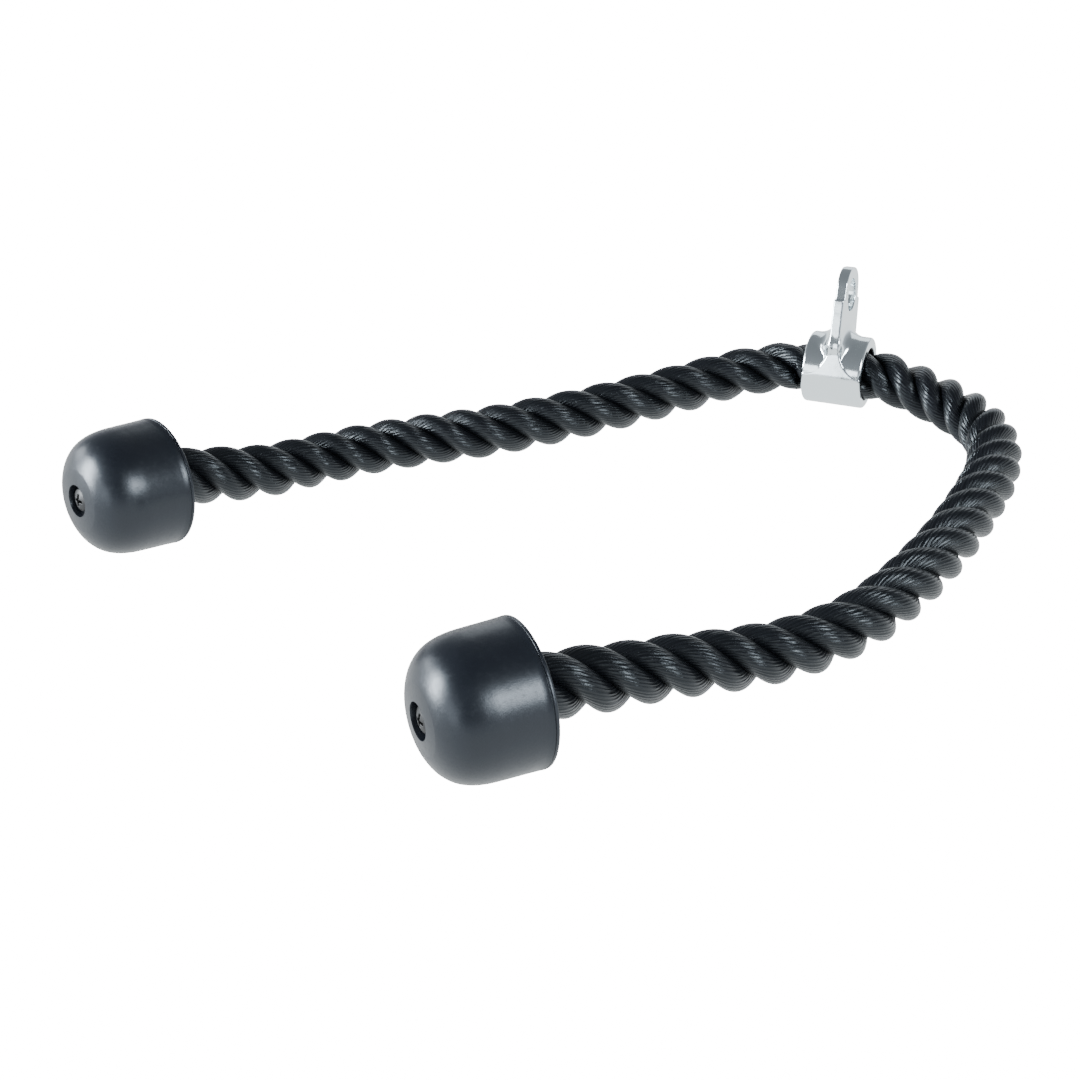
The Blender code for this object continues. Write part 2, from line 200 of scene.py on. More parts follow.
def strand_turn(arm, places):
    """Turn of the first strand round the centreline, in radians: one full turn to each lay length."""
    first, at, lay = TURNS[arm]
    fine = np.linspace(-COLLAR_LENGTH, at[-1] + ROPE_TIP, TURN_SAMPLES)
    rate = 2 * math.pi / np.interp(fine, at, lay)
    turn = np.concatenate(([0], np.cumsum((rate[1:] + rate[:-1]) / 2 * np.diff(fine))))
    return math.radians(first) + np.interp(places, fine, turn) - np.interp(0, fine, turn)


def groove_angle():
    """Angle round a strand's own middle, from its crown, at which it meets its neighbour."""
    angle = np.linspace(*np.radians(GROOVE_SEARCH_DEG), GROOVE_SAMPLES)
    polar = np.arctan2(STRAND_WIDTH * np.sin(angle), STRAND_OFFSET + STRAND_DEPTH * np.cos(angle))
    return float(np.interp(math.pi / STRANDS, polar[: polar.argmax()], angle[: polar.argmax()]))


def rope_length(name, arm, start, end):
    """A twisted tube whose section is three overlapping ovals. Its columns follow the strands, so the
    grooves stay crisp. The UV map holds the yarn count round a strand, unwound against the lay, and the
    length in centimetres."""
    rings = round((end - start) / RING_SPACING) + 1
    places = np.linspace(start, end, rings)
    point, _, up, side = along_arm(arm, places)
    turn = strand_turn(arm, places)
    groove = groove_angle()
    round_strand = np.linspace(-groove, groove, STRAND_COLUMNS + 1)
    own, next_own = np.tile(round_strand[:-1], STRANDS), np.tile(round_strand[1:], STRANDS)
    strand = np.repeat(np.arange(STRANDS) * 2 * math.pi / STRANDS, STRAND_COLUMNS)
    out = STRAND_OFFSET + STRAND_DEPTH * np.cos(own)
    across = STRAND_WIDTH * np.sin(own)
    rim, loose = TURNS[arm][1][-1], 1 + LOOSE_SHARE
    at = (-LOOSE_FROM, -LOOSE_TO, -SNUG_LENGTH, SNUG_LENGTH, BANDED_FROM - BANDED_STEP, BANDED_FROM)
    girth = np.interp(places - rim, at, (1, loose, loose, 1, 1, BANDED_SHARE))[:, None]
    angle = turn[:, None] + strand[None]
    upward = (out * np.cos(angle) - across * np.sin(angle)) * girth
    sideways = (out * np.sin(angle) + across * np.cos(angle)) * girth
    shell = point[:, None] + upward[..., None] * up[:, None] + sideways[..., None] * side[:, None]
    columns = STRANDS * STRAND_COLUMNS
    vertices = np.vstack([shell.reshape(-1, 3), point[0], point[-1]])
    ring, column = np.meshgrid(np.arange(rings - 1), np.arange(columns), indexing="ij")
    following = (column + 1) % columns
    corner = [ring * columns + column, ring * columns + following]
    quads = np.stack([*corner, corner[1] + columns, corner[0] + columns], axis=-1).reshape(-1, 4)
    edge = np.arange(columns)
    after = (edge + 1) % columns
    first_end = np.stack([np.full(columns, rings * columns), after, edge], axis=1)
    last = (rings - 1) * columns
    last_end = np.stack([np.full(columns, rings * columns + 1), last + edge, last + after], axis=1)
    mesh = bpy.data.meshes.new(name)
    mesh.from_pydata(vertices, [], [*quads.tolist(), *first_end.tolist(), *last_end.tolist()])
    mesh.shade_smooth()
    mesh.set_sharp_from_angle(angle=math.radians(ROPE_CREASE_DEG))
    low, high = own + YARN_SPIN * turn[:, None], next_own + YARN_SPIN * turn[:, None]
    yarn = np.stack([low[:-1], high[:-1], high[1:], low[1:]], axis=-1) * YARNS / (2 * math.pi)
    run = np.broadcast_to(places[:, None], (rings, columns)) * 100
    run = np.stack([run[:-1], run[:-1], run[1:], run[1:]], axis=-1)
    uv = np.stack([yarn, run], axis=-1).reshape(-1, 2)
    uv = np.vstack([uv, np.zeros((first_end.size + last_end.size, 2))])
    mesh.uv_layers.new(name="yarns").data.foreach_set("uv", uv.astype(np.float32).ravel())
    piece = bpy.data.objects.new(name, mesh)
    bpy.context.collection.objects.link(piece)
    return piece


class Value:
    """A socket or a number in a shader: arithmetic on it adds Math nodes."""

    def __init__(self, tree, socket):
        self.tree, self.socket = tree, socket

    def maths(self, operation, *others):
        return self.tree.node("ShaderNodeMath", {"operation": operation}, self, *others)

    def __add__(self, other):
        return self.maths("ADD", other)

    def __mul__(self, other):
        return self.maths("MULTIPLY", other)

    def __sub__(self, other):
        return self.maths("SUBTRACT", other)

    def __rsub__(self, other):
        return self.tree.node("ShaderNodeMath", {"operation": "SUBTRACT"}, other, self)

    __radd__, __rmul__ = __add__, __mul__


class Finish:
    """A material under construction, on one Principled surface."""

    def __init__(self, name, **constants):
        self.material = bpy.data.materials.new(name)
        self.material.use_nodes = True
        self.nodes, self.links = self.material.node_tree.nodes, self.material.node_tree.links
        self.surface = self.nodes["Principled BSDF"]
        for socket, value in constants.items():
            self.surface.inputs[socket.replace("_", " ")].default_value = value

    def put(self, socket, value):
        """Links a socket to a value, or sets a constant on it."""
        if isinstance(value, Value):
            self.links.new(value.socket, socket)
        else:
            socket.default_value = value

    def node(self, kind, settings=None, *values, out=0, **named):
        """One output of a new node with these settings, its inputs fed in order and by name."""
        node = self.nodes.new(kind)
        for name, value in (settings or {}).items():
            setattr(node, name, value)
        for socket, value in zip(node.inputs, values):
            self.put(socket, value)
        for name, value in named.items():
            self.put(node.inputs[name], value)
        return Value(self, node.outputs[out])

    def feed(self, **sockets):
        """The finished material, once these values feed its surface."""
        for name, value in sockets.items():
            self.put(self.surface.inputs[name.replace("_", " ")], value)
        return self.material

    def blend_color(self, share, low, high):
        """From the low to the high colour. A Mix node's colours are inputs 6 and 7 and output 2."""
        mix = self.nodes.new("ShaderNodeMix")
        mix.data_type = "RGBA"
        self.put(mix.inputs["Factor"], share)
        self.put(mix.inputs[6], low)
        self.put(mix.inputs[7], high)
        return Value(self, mix.outputs[2])


def rope_finish():
    """Round yarns side by side, each with fine filaments along it, in the rope's own yarn coordinates."""
    make = Finish("rope_polyester", IOR=1.52, Specular_IOR_Level=0.32, Specular_Tint=ROPE_SHEEN_TINT)
    flat = {"noise_dimensions": "2D"}
    uv = make.node("ShaderNodeUVMap", {"uv_map": "yarns"})
    split = make.nodes.new("ShaderNodeSeparateXYZ")
    make.links.new(uv.socket, split.inputs[0])
    yarn, run = Value(make, split.outputs[0]), Value(make, split.outputs[1])
    wander = make.node("ShaderNodeTexNoise", flat, Vector=uv, Scale=0.9, Detail=1.0)
    ridge = (yarn + (wander - 0.5) * 0.7).maths("PINGPONG", 0.5) * 2.0
    streak_at = make.node("ShaderNodeCombineXYZ", None, yarn * 3.0, run * 0.9)
    streak = make.node("ShaderNodeTexNoise", flat, Vector=streak_at, Scale=1.0, Detail=3.0)
    fine_at = make.node("ShaderNodeCombineXYZ", None, yarn * 9.0, run * 1.6)
    fine = make.node("ShaderNodeTexNoise", flat, Vector=fine_at, Scale=1.0, Detail=2.0)
    height = ridge * 0.5 + streak * 0.28 + fine * 0.10
    bump = make.node("ShaderNodeBump", None, Strength=0.9, Distance=0.0004, Height=height)
    color = make.blend_color(streak * ridge, ROPE_SHADE, ROPE_LIGHT)
    return make.feed(Base_Color=color, Roughness=fine * 0.20 + 0.16, Normal=bump)


rope_material = rope_finish()
for arm, (root, middle, cut) in BENDS.items():
    reach = TURNS[arm][1][-1]
    bodies = ("clamp", f"{arm}_inner_arm", f"{arm}_outer_arm")
    stretches = (
        ("inner", -(COLLAR_LENGTH + FACE_GAP) / 2, cut, bodies[:2], root, ROOT_BEND_LENGTH),
        ("outer", cut, reach + ROPE_TIP, bodies[1:], middle, MIDDLE_BEND_LENGTH),
    )
    for part, start, end, pair, pivot, bend in stretches:
        piece = rope_length(f"{arm}_{part}_strands", arm, start, end)
        piece.data.materials.append(rope_material)
        pivot_point, direction, _, _ = along_arm(arm, np.array([pivot]))
        pivot_point[0] - direction[0] * bend / 2
        pivot_point[0] + direction[0] * bend / 2
        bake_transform(piece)
        route = along_arm(arm, np.linspace(start, end, round((end - start) / ROUTE_SPACING) + 1))[0]
        end - start
        if part == "inner":
            hidden = [f"{arm}_root_flex", f"{arm}_inner_rope"] + ["rope_core"] * (arm == "far")
        else:
            hidden = [f"{arm}_mid_flex", f"{arm}_outer_rope", f"{arm}_rope_end"]
        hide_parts(*hidden)

# The eye clamp: one bright-plated steel casting. Its collar is crimped round the middle of the rope. A flat
# tongue rises from the collar between two hollow flanks, leans back, steps in at a shoulder and ends in a
# squared-off eye for the machine's snap hook.

CLAMP_LEAN_DEG = 18.0
BELLY_RADIUS = 0.0181
ROOF_RADIUS, ROOF_RISE = 0.0180, 0.0012
BORE_RADIUS = 0.0133
WEB_SWELL, WEB_WIDEST, WEB_TAPER = 0.0007, 0.016, 0.055
TONGUE_THICKNESS = 0.0055
TONGUE_TILT_DEG = 1.8
FLANK_TOP, FLANK_FOOT = 0.0157, -0.0013
SHOULDER_HEIGHT = 0.0380
EYE_HEIGHT, EYE_HOLE_RADIUS = 0.0400, 0.0084
EYE_HALF_WIDTH, EYE_TAPER, EYE_TOP, EYE_CORNER = 0.0140, 0.15, 0.0542, 0.0095
# Fillets at the roof and rounding of the flanks' edges, left and right of the tongue
ROOF_FILLETS, FILLET_HEIGHTS = (0.0100, 0.0080), (0.006, 0.016)
FLANK_ROUNDS, LEAST_FILLET = (0.0016, 0.0008), 0.00006
# The left ones come in over these distances left of the middle and in from the collar's end, and the left
# flank's rounding fades over this height above the flank
LEFT_WIDTH, LEFT_INSET, LEFT_FADE = 0.004, (0.001, 0.007), 0.006
EDGE_ROUND, END_ROUND, MOUTH_ROUND, SHOULDER_ROUND = 0.0006, 0.0016, 0.0013, 0.0005
CLAMP_CELL = 0.00038
CLAMP_LOW, CLAMP_HIGH = (-0.0166, -0.0200, -0.0188), (0.0166, 0.0204, 0.0554)
# The second colour is painted shade: the near-black bore and inner edge of the mouth round the rope
CHROME, BORE_SHADE = (0.75, 0.81, 0.83, 1), (0.02, 0.021, 0.024, 1)
# The plating is painted near black as painted shade round the rope, and made rougher, within the first of
# these distances outside the bore's radius, and is bright again beyond the second
SHADE_AND_DULL_WITHIN, BRIGHT_BEYOND = 0.0004, 0.0010


def meet(first, second, rounding):
    """Distance to what two solids share, its edge rounded to this radius."""
    beyond = np.hypot(np.maximum(first + rounding, 0), np.maximum(second + rounding, 0))
    return np.minimum(-rounding, np.maximum(first, second)) + beyond


def join(first, second, fillet):
    """Distance to two solids together, with a fillet of this radius in their corner."""
    return -meet(-first, -second, fillet)


def soft_step(value, low, high):
    """From 0 to 1 between two values, level at both."""
    share = np.clip((value - low) / (high - low), 0, 1)
    return share**2 * (3 - 2 * share)


def clamp_distance(along, across, up):
    """Signed distance to the clamp, below zero inside, seen from the collar's middle and square to the
    tongue. The flank on the tongue's left is softer than the one on its right."""
    end = np.abs(along) - COLLAR_LENGTH / 2
    tilt = math.tan(math.radians(TONGUE_TILT_DEG)) * np.maximum(up - BELLY_RADIUS, 0)
    slab = np.abs(along + tilt) - TONGUE_THICKNESS / 2
    round_collar = np.hypot(across, up)
    half_web = BELLY_RADIUS + WEB_SWELL * soft_step(up, 0, WEB_WIDEST)
    half_web -= WEB_TAPER * np.maximum(up - WEB_WIDEST, 0)
    web = np.where(up > 0, np.abs(across) - half_web, round_collar - BELLY_RADIUS)
    half_eye = EYE_HALF_WIDTH - EYE_TAPER * (up - EYE_HEIGHT)
    lobe = meet(np.abs(across) - half_eye, up - EYE_TOP, EYE_CORNER)
    block = meet(web, up - SHOULDER_HEIGHT, SHOULDER_ROUND)
    outline = np.minimum(block, np.maximum(lobe, BELLY_RADIUS - up))
    wide, tall = (COLLAR_LENGTH - TONGUE_THICKNESS) / 2, FLANK_TOP - FLANK_FOOT
    over = up - FLANK_TOP
    near, steep = np.hypot(end / wide, over / tall), np.hypot(end / wide**2, over / tall**2)
    hollow = np.where(over > 0, slab, near * (1 - near) / np.maximum(steep, 1))
    left = soft_step(-along, 0, LEFT_WIDTH)
    softer = left * soft_step(-end, *LEFT_INSET) * soft_step(-over, -LEFT_FADE, 0)
    flank_round = FLANK_ROUNDS[1] + (FLANK_ROUNDS[0] - FLANK_ROUNDS[1]) * softer
    body = meet(meet(outline, hollow, flank_round), end, END_ROUND)
    roof = meet(np.hypot(across, up - ROOF_RISE) - ROOF_RADIUS, end, END_ROUND)
    fillet = ROOF_FILLETS[1] + (ROOF_FILLETS[0] - ROOF_FILLETS[1]) * left
    solid = join(body, roof, fillet * soft_step(up, *FILLET_HEIGHTS) + LEAST_FILLET)
    solid = meet(solid, BORE_RADIUS - round_collar, MOUTH_ROUND)
    return meet(solid, EYE_HOLE_RADIUS - np.hypot(across, up - EYE_HEIGHT), EDGE_ROUND)


def surface_of(distance, low, high, cell):
    """Points and quads of the surface where a distance is zero. A grid cell that the surface crosses holds
    one point: the mean of the crossings on the cell's edges, moved onto the surface along the distance's
    slope in three steps of up to half a cell."""
    axes = [np.arange(start, stop + cell, cell) for start, stop in zip(low, high)]
    value = distance(*np.meshgrid(*axes, indexing="ij"))
    cells, places = [], []
    for axis in range(3):
        along, beside, above = np.roll(np.eye(3, dtype=int), -axis, axis=0)
        count = value.shape[axis] - 1
        lower, upper = np.take(value, range(count), axis), np.take(value, range(1, count + 1), axis)
        edge = np.argwhere((lower < 0) != (upper < 0))
        start, stop = lower[tuple(edge.T)], upper[tuple(edge.T)]
        places.append(edge + along * (start / (start - stop))[:, None])
        ring = edge[:, None] - np.array((beside + above, above, 0 * above, beside))
        index = np.ravel_multi_index(tuple(ring.transpose(2, 0, 1)), np.array(value.shape) - 1)
        cells.append(np.where((start < 0)[:, None], index, index[:, ::-1]))
    cells, places = np.vstack(cells), np.repeat(np.vstack(places), 4, axis=0)
    _, quads = np.unique(cells.ravel(), return_inverse=True)
    points = np.stack([np.bincount(quads, weights=places[:, i]) for i in range(3)], axis=1)
    points = points / np.bincount(quads)[:, None] * cell + low
    nudge = cell / 20
    for _ in range(3):
        slope = [distance(*(points + step).T) - distance(*(points - step).T) for step in np.eye(3) * nudge]
        slope = np.stack(slope, axis=1) / (2 * nudge)
        steep = np.maximum((slope**2).sum(axis=1), 0.25)
        points -= np.clip(distance(*points.T) / steep, -cell / 2, cell / 2)[:, None] * slope
    return points, quads.reshape(-1, 4)


def smooth_piece(name, points, faces, material, node, body):
    """A finished piece that takes one CAD node's place on its body."""
    mesh = bpy.data.meshes.new(name)
    mesh.from_pydata(points, [], faces.tolist())
    mesh.shade_smooth()
    mesh.materials.append(material)
    piece = bpy.data.objects.new(name, mesh)
    bpy.context.collection.objects.link(piece)
    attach(piece, body)
    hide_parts(node)
    return piece


def chrome_finish():
    """Bright plating over a cast surface: slight waves, fine pits, and a rougher bore painted near black as
    painted shade round the rope.
    """
    make = Finish("clamp_chrome", Metallic=1.0)
    place = make.node("ShaderNodeTexCoord", out="Object")
    wave = make.node("ShaderNodeTexNoise", None, Vector=place, Scale=85.0, Detail=1.0)
    grain = make.node("ShaderNodeTexNoise", None, Vector=place, Scale=1400.0, Detail=3.0)
    pit = make.node("ShaderNodeTexVoronoi", None, Vector=place, Scale=520.0)
    waved = make.node("ShaderNodeBump", None, Strength=0.5, Distance=0.0005, Height=wave)
    relief = grain + pit
    normal = make.node("ShaderNodeBump", None, Strength=0.12, Distance=0.00006, Height=relief, Normal=waved)
    offset = make.node("ShaderNodeVectorMath", {"operation": "SUBTRACT"}, place, tuple(COLLAR_CENTER))
    flat = make.node("ShaderNodeVectorMath", {"operation": "MULTIPLY"}, offset, (0, 1, 1))
    radius = make.node("ShaderNodeVectorMath", {"operation": "LENGTH"}, flat, out="Value")
    dull, bright = BORE_RADIUS + SHADE_AND_DULL_WITHIN, BORE_RADIUS + BRIGHT_BEYOND
    inside = make.node("ShaderNodeMapRange", None, radius, dull, bright, 1.0, 0.0)
    # Painted shade: the bore and the inner edge of the mouth are coloured near black
    color = make.blend_color(inside, CHROME, BORE_SHADE)
    return make.feed(Base_Color=color, Roughness=grain * 0.10 + 0.08 + inside * 0.4, Normal=normal)


clamp_points, clamp_quads = surface_of(clamp_distance, CLAMP_LOW, CLAMP_HIGH, CLAMP_CELL)
clamp_turn = np.array(Matrix.Rotation(math.radians(-CLAMP_LEAN_DEG), 3, "X"))
smooth_piece("eye_clamp_casting", clamp_points @ clamp_turn.T + COLLAR_CENTER, clamp_quads, chrome_finish(),
             "eye_clamp", "clamp")

# The end bands: a thin steel band crimped round each cut end of the rope, so that the screw can't split it.
# The crimping tool leaves a ring of shallow dents. They are hidden in the caps.

BAND_WALL, BAND_LENGTH, BAND_TOP = 0.0008, 0.0120, 0.0291
BAND_DENTS, BAND_DENT_DEPTH, BAND_DENT_SPREAD = 10, 0.00025, 0.0024
BAND_STEPS, BAND_SIDE_STEPS, BAND_CREASE_DEG = 160, 24, 35
BAND_TONE, BAND_ROUGHNESS = 0.55, 0.28


def cap_frame(arm):
    """Rim centre and three unit columns: sideways, over, and from the rim plane to the dome."""
    center, axis = cap_axis(arm)
    side = np.cross(-axis, (0, 0, 1))
    side /= np.linalg.norm(side)
    return center, np.stack([side, np.cross(-axis, side), -axis], axis=1)


def turned(profile, steps):
    """A closed profile of (radius, height), anticlockwise, turned about the local Z axis as quads."""
    around = np.linspace(0, 2 * np.pi, steps, endpoint=False)
    radius, height = np.array(profile).T[..., None]
    points = np.stack([radius * np.cos(around), radius * np.sin(around), height + 0 * around], axis=-1)
    ring, column = np.meshgrid(np.arange(len(radius)), np.arange(steps), indexing="ij")
    ring_after, column_after = (ring + 1) % len(radius), (column + 1) % steps
    quads = [ring * steps + column, ring * steps + column_after]
    quads += [ring_after * steps + column_after, ring_after * steps + column]
    return points.reshape(-1, 3), np.stack(quads, axis=-1).reshape(-1, 4)


def placed(arm, points):
    """Points from the cap's own axes to the shared frame."""
    center, axes = cap_frame(arm)
    return points @ axes.T + center


def steel_finish(name, tone, roughness):
    """Zinc-plated steel, faintly mottled, with fine turning marks."""
    make = Finish(name, Metallic=1.0)
    place = make.node("ShaderNodeTexCoord", out="Object")
    mottle = make.node("ShaderNodeTexNoise", None, Vector=place, Scale=420.0, Detail=3.0)
    scratch = make.node("ShaderNodeTexNoise", None, Vector=place, Scale=2600.0, Detail=2.0)
    color = make.blend_color(mottle, (*[tone * 0.8] * 3, 1), (tone, tone, tone * 1.04, 1))
    bump = make.node("ShaderNodeBump", None, Strength=0.2, Distance=0.00004, Height=scratch)
    return make.feed(Base_Color=color, Roughness=mottle * 0.2 + roughness, Normal=bump)


band_steel = steel_finish("band_steel", BAND_TONE, BAND_ROUGHNESS)
inner, outer = ROPE_DIAMETER / 2 - BAND_WALL, ROPE_DIAMETER / 2
band_low = BAND_TOP - BAND_LENGTH
band_corners = [(inner, band_low), (outer, band_low), (outer, BAND_TOP), (inner, BAND_TOP)]
band_sides = zip(band_corners, np.roll(band_corners, -1, axis=0))
band_profile = np.vstack([np.linspace(*side, BAND_SIDE_STEPS, endpoint=False) for side in band_sides])
band_points, band_quads = turned(band_profile, BAND_STEPS)
dent = np.cos(np.arctan2(band_points[:, 1], band_points[:, 0]) * BAND_DENTS).clip(0, 1)
dent *= np.exp(-(((band_points[:, 2] - BAND_TOP + BAND_LENGTH / 2) / BAND_DENT_SPREAD) ** 2))
band_points[:, :2] *= (1 - dent * BAND_DENT_DEPTH / outer)[:, None]
for arm in ARMS:
    band = smooth_piece(f"{arm}_crimped_band", placed(arm, band_points), band_quads, band_steel,
                        f"{arm}_end_band", f"{arm}_outer_arm")
    band.data.set_sharp_from_angle(angle=math.radians(BAND_CREASE_DEG))

# The end caps: black moulded rubber, widest at the rim that stops the hand and domed at the far end, with a
# deep recess for the screw. The rim's edge is rounded, and a fine parting groove runs just behind it.

CAP_LENGTH = 0.0437
CAP_RECESS_RADIUS, CAP_RECESS_DEPTH = 0.0076, 0.0056
CAP_HOLE_RADIUS = 0.0028
CAP_STEPS, CAP_CURVE_STEPS, CAP_ROUNDING_STEPS, CAP_CREASE_DEG = 192, 10, 6, 50
RUBBER_DARK, RUBBER_PALE = (0.0030, 0.0040, 0.0068, 1), (0.0056, 0.0070, 0.0105, 1)
RUBBER_SHEEN_TINT = (0.86, 0.92, 1.0, 1)
# Radius past the socket's, height from the rim plane, and rounding, at the mouth and up the socket's wall
MOUTH_CORNERS = ((0, 0.0004, 0.0003), (0.0004, 0, 0.0002))
WALL_CORNER = (0, 0.02, 0.0001)
# The same past the rim's radius, at its edge and at the start, bottom and end of the parting groove
EDGE_CORNERS = (
    (-0.0001, 0.00005, 0.0007),
    (0, 0.0015, 0.0002),
    (-0.0005, 0.0018, 0.0002),
    (0, 0.0022, 0.0002),
)
# Radius short of the recess's and depth from the dome's tip, down the wall of the recess
RECESS_WALL = (
    (0.0001, 0.0002),
    (0.0004, 0.0012),
    (0.0004, CAP_RECESS_DEPTH - 0.0006),
    (0.0006, CAP_RECESS_DEPTH),
)
# (share of the length, share of the rim radius), from the rim's edge to the dome's tip
CAP_PROFILE_SHARES = (
    (0.064, 1.000),
    (0.120, 0.993),
    (0.250, 0.987),
    (0.400, 0.982),
    (0.550, 0.970),
    (0.680, 0.933),
    (0.790, 0.863),
    (0.880, 0.750),
    (0.940, 0.620),
    (0.980, 0.480),
    (1.000, 0.240),
)


def rounded_profile(corners, steps):
    """The closed profile through (radius, height, rounding) corners, each rounded by a quadratic curve."""
    corners = np.array(corners)
    here = corners[:, :2]
    sides = [np.roll(here, 1, axis=0) - here, np.roll(here, -1, axis=0) - here]
    start, stop = (here + corners[:, 2:] * (side / np.linalg.norm(side, axis=1)[:, None]) for side in sides)
    share = np.linspace(0, 1, steps)[None, :, None]
    curve = (1 - share) ** 2 * start[:, None] + 2 * share * (1 - share) * here[:, None]
    return (curve + share**2 * stop[:, None]).reshape(-1, 2)


def cap_profile():
    """Mouth, flat rim, rounded edge with the parting groove, flank and dome, recess and screw hole. The
    corner up the socket's wall only gives the mouth its direction, so its own curve is left out."""
    socket, floor = ROPE_DIAMETER / 2 + FACE_GAP, CAP_LENGTH - CAP_RECESS_DEPTH
    flank = np.array(CAP_PROFILE_SHARES)[:, ::-1] * (CAP_RIM_RADIUS, CAP_LENGTH)
    corners = [(socket + past, *rest) for past, *rest in MOUTH_CORNERS]
    corners += [(CAP_RIM_RADIUS + past, *rest) for past, *rest in EDGE_CORNERS]
    corners += [(socket + WALL_CORNER[0], *WALL_CORNER[1:])]
    rim = rounded_profile(corners, CAP_ROUNDING_STEPS)[:-CAP_ROUNDING_STEPS]
    inside = [(CAP_RECESS_RADIUS - short, CAP_LENGTH - depth) for short, depth in RECESS_WALL]
    inside += [(CAP_HOLE_RADIUS, floor), (CAP_HOLE_RADIUS, CAP_SOCKET_DEPTH), (socket, CAP_SOCKET_DEPTH)]
    return np.vstack([rim, smooth_through(flank, CAP_CURVE_STEPS), inside])


def rubber_finish():
    """Satin rubber: a clouded sheen with scuffs that lighten it, and a faint moulded grain."""
    make = Finish("cap_rubber", IOR=1.5, Specular_IOR_Level=0.50, Specular_Tint=RUBBER_SHEEN_TINT)
    place = make.node("ShaderNodeTexCoord", out="Object")
    cloud = make.node("ShaderNodeTexNoise", None, Vector=place, Scale=110.0, Detail=3.0)
    scuff = make.node("ShaderNodeTexNoise", None, Vector=place, Scale=480.0, Detail=4.0, Roughness=0.65)
    grain = make.node("ShaderNodeTexNoise", None, Vector=place, Scale=1900.0, Detail=2.0)
    marks = make.node("ShaderNodeMapRange", None, scuff, 0.52, 0.72, 0.0, 1.0)
    color = make.blend_color(cloud, RUBBER_DARK, RUBBER_PALE)
    relief = cloud * 0.8 + scuff + grain * 0.2
    bump = make.node("ShaderNodeBump", None, Strength=0.38, Distance=0.00012, Height=relief)
    return make.feed(Base_Color=color, Roughness=cloud * 0.10 + marks * 0.08 + 0.27, Normal=bump)


cap_rubber = rubber_finish()
cap_points, cap_quads = turned(cap_profile(), CAP_STEPS)
for arm in ARMS:
    cap = smooth_piece(f"{arm}_rubber_cap", placed(arm, cap_points), cap_quads, cap_rubber,
                       f"{arm}_end_cap", f"{arm}_outer_arm")
    cap.data.set_sharp_from_angle(angle=math.radians(CAP_CREASE_DEG))

# The washers: flat zinc-plated steel, one at the bottom of each recess under the screw's head. Their edges
# are slightly rounded from punching, the outer top edge the most.

WASHER_RADIUS, WASHER_THICKNESS = 0.0068, 0.0012
WASHER_SEAT = CAP_LENGTH - CAP_RECESS_DEPTH + FACE_GAP
WASHER_ROUND, WASHER_TOP_ROUND = 0.0002, 0.0004
WASHER_STEPS, WASHER_ROUNDING_STEPS = 128, 8
# Painted shade: the washer's zinc-plated steel is toned nearly black, as shade at the bottom of the recess
WASHER_SHADED_TONE, WASHER_ROUGHNESS = 0.08, 0.36

washer_shaded_steel = steel_finish("washer_shaded_steel", WASHER_SHADED_TONE, WASHER_ROUGHNESS)
washer_top = WASHER_SEAT + WASHER_THICKNESS
washer_corners = (
    (CAP_HOLE_RADIUS, WASHER_SEAT, WASHER_ROUND),
    (WASHER_RADIUS, WASHER_SEAT, WASHER_ROUND),
    (WASHER_RADIUS, washer_top, WASHER_TOP_ROUND),
    (CAP_HOLE_RADIUS, washer_top, WASHER_ROUND),
)
washer_points, washer_quads = turned(rounded_profile(washer_corners, WASHER_ROUNDING_STEPS), WASHER_STEPS)
for arm in ARMS:
    smooth_piece(f"{arm}_flat_washer", placed(arm, washer_points), washer_quads, washer_shaded_steel,
                 f"{arm}_washer", f"{arm}_outer_arm")

# The screws: a pan head with a cross recess holds each cap, and its coarse thread bites into the heart of
# the rope. The slots of the cross narrow towards their bottom.

SCREW_TIP, SCREW_POINT = 0.0070, 0.0040
SCREW_HEAD_RADIUS, SCREW_HEAD_HEIGHT, SCREW_CROWN = 0.0053, 0.0032, 0.00144
THREAD_RADIUS, THREAD_ROOT, THREAD_PITCH, THREAD_SHARPNESS = 0.0025, 0.0019, 0.0020, 3
CROSS_SPAN, CROSS_SLOT, CROSS_DEPTH, CROSS_TAPER = 0.0032, 0.0007, 0.0021, 0.45
HEAD_ROUND, UNDERHEAD_ROUND, CROSS_ROUND = 0.0003, 0.0002, 0.0001
SCREW_CELL, SCREW_REACH, SCREW_MARGIN = 0.00017, 0.0056, 0.0004
# Painted shade: the screw's zinc-plated steel is toned nearly black, as shade deep in the cap's recess
SCREW_SHADED_TONE, SCREW_ROUGHNESS = 0.055, 0.40


def screw_distance(x, y, z):
    """Signed distance to the screw: a domed head less a tapered cross, and a shank whose radius follows the
    thread."""
    seat = WASHER_SEAT + WASHER_THICKNESS + FACE_GAP
    top, radius = seat + SCREW_HEAD_HEIGHT, np.hypot(x, y)
    ball = (SCREW_HEAD_RADIUS**2 + SCREW_CROWN**2) / (2 * SCREW_CROWN)
    dome = np.hypot(radius, z - top + ball) - ball
    head = meet(meet(radius - SCREW_HEAD_RADIUS, dome, HEAD_ROUND), seat - z, UNDERHEAD_ROUND)
    turn = z / THREAD_PITCH - np.arctan2(y, x) / (2 * np.pi)
    ridge = np.abs(turn % 1 * 2 - 1) ** THREAD_SHARPNESS
    point = np.clip((z - SCREW_TIP) / SCREW_POINT, 0, 1)
    shank = radius - point * (THREAD_ROOT + (THREAD_RADIUS - THREAD_ROOT) * ridge)
    shank = np.maximum(np.maximum(shank, SCREW_TIP - z), z - seat - SCREW_HEAD_HEIGHT / 2)
    deep = top - z
    slots = [np.maximum(np.abs(a) - CROSS_SLOT, np.abs(b) - CROSS_SPAN + deep * CROSS_TAPER)
             for a, b in ((x, y), (y, x))]
    cross = np.maximum(np.minimum(*slots), deep - CROSS_DEPTH)
    return meet(np.minimum(head, shank), -cross, CROSS_ROUND)


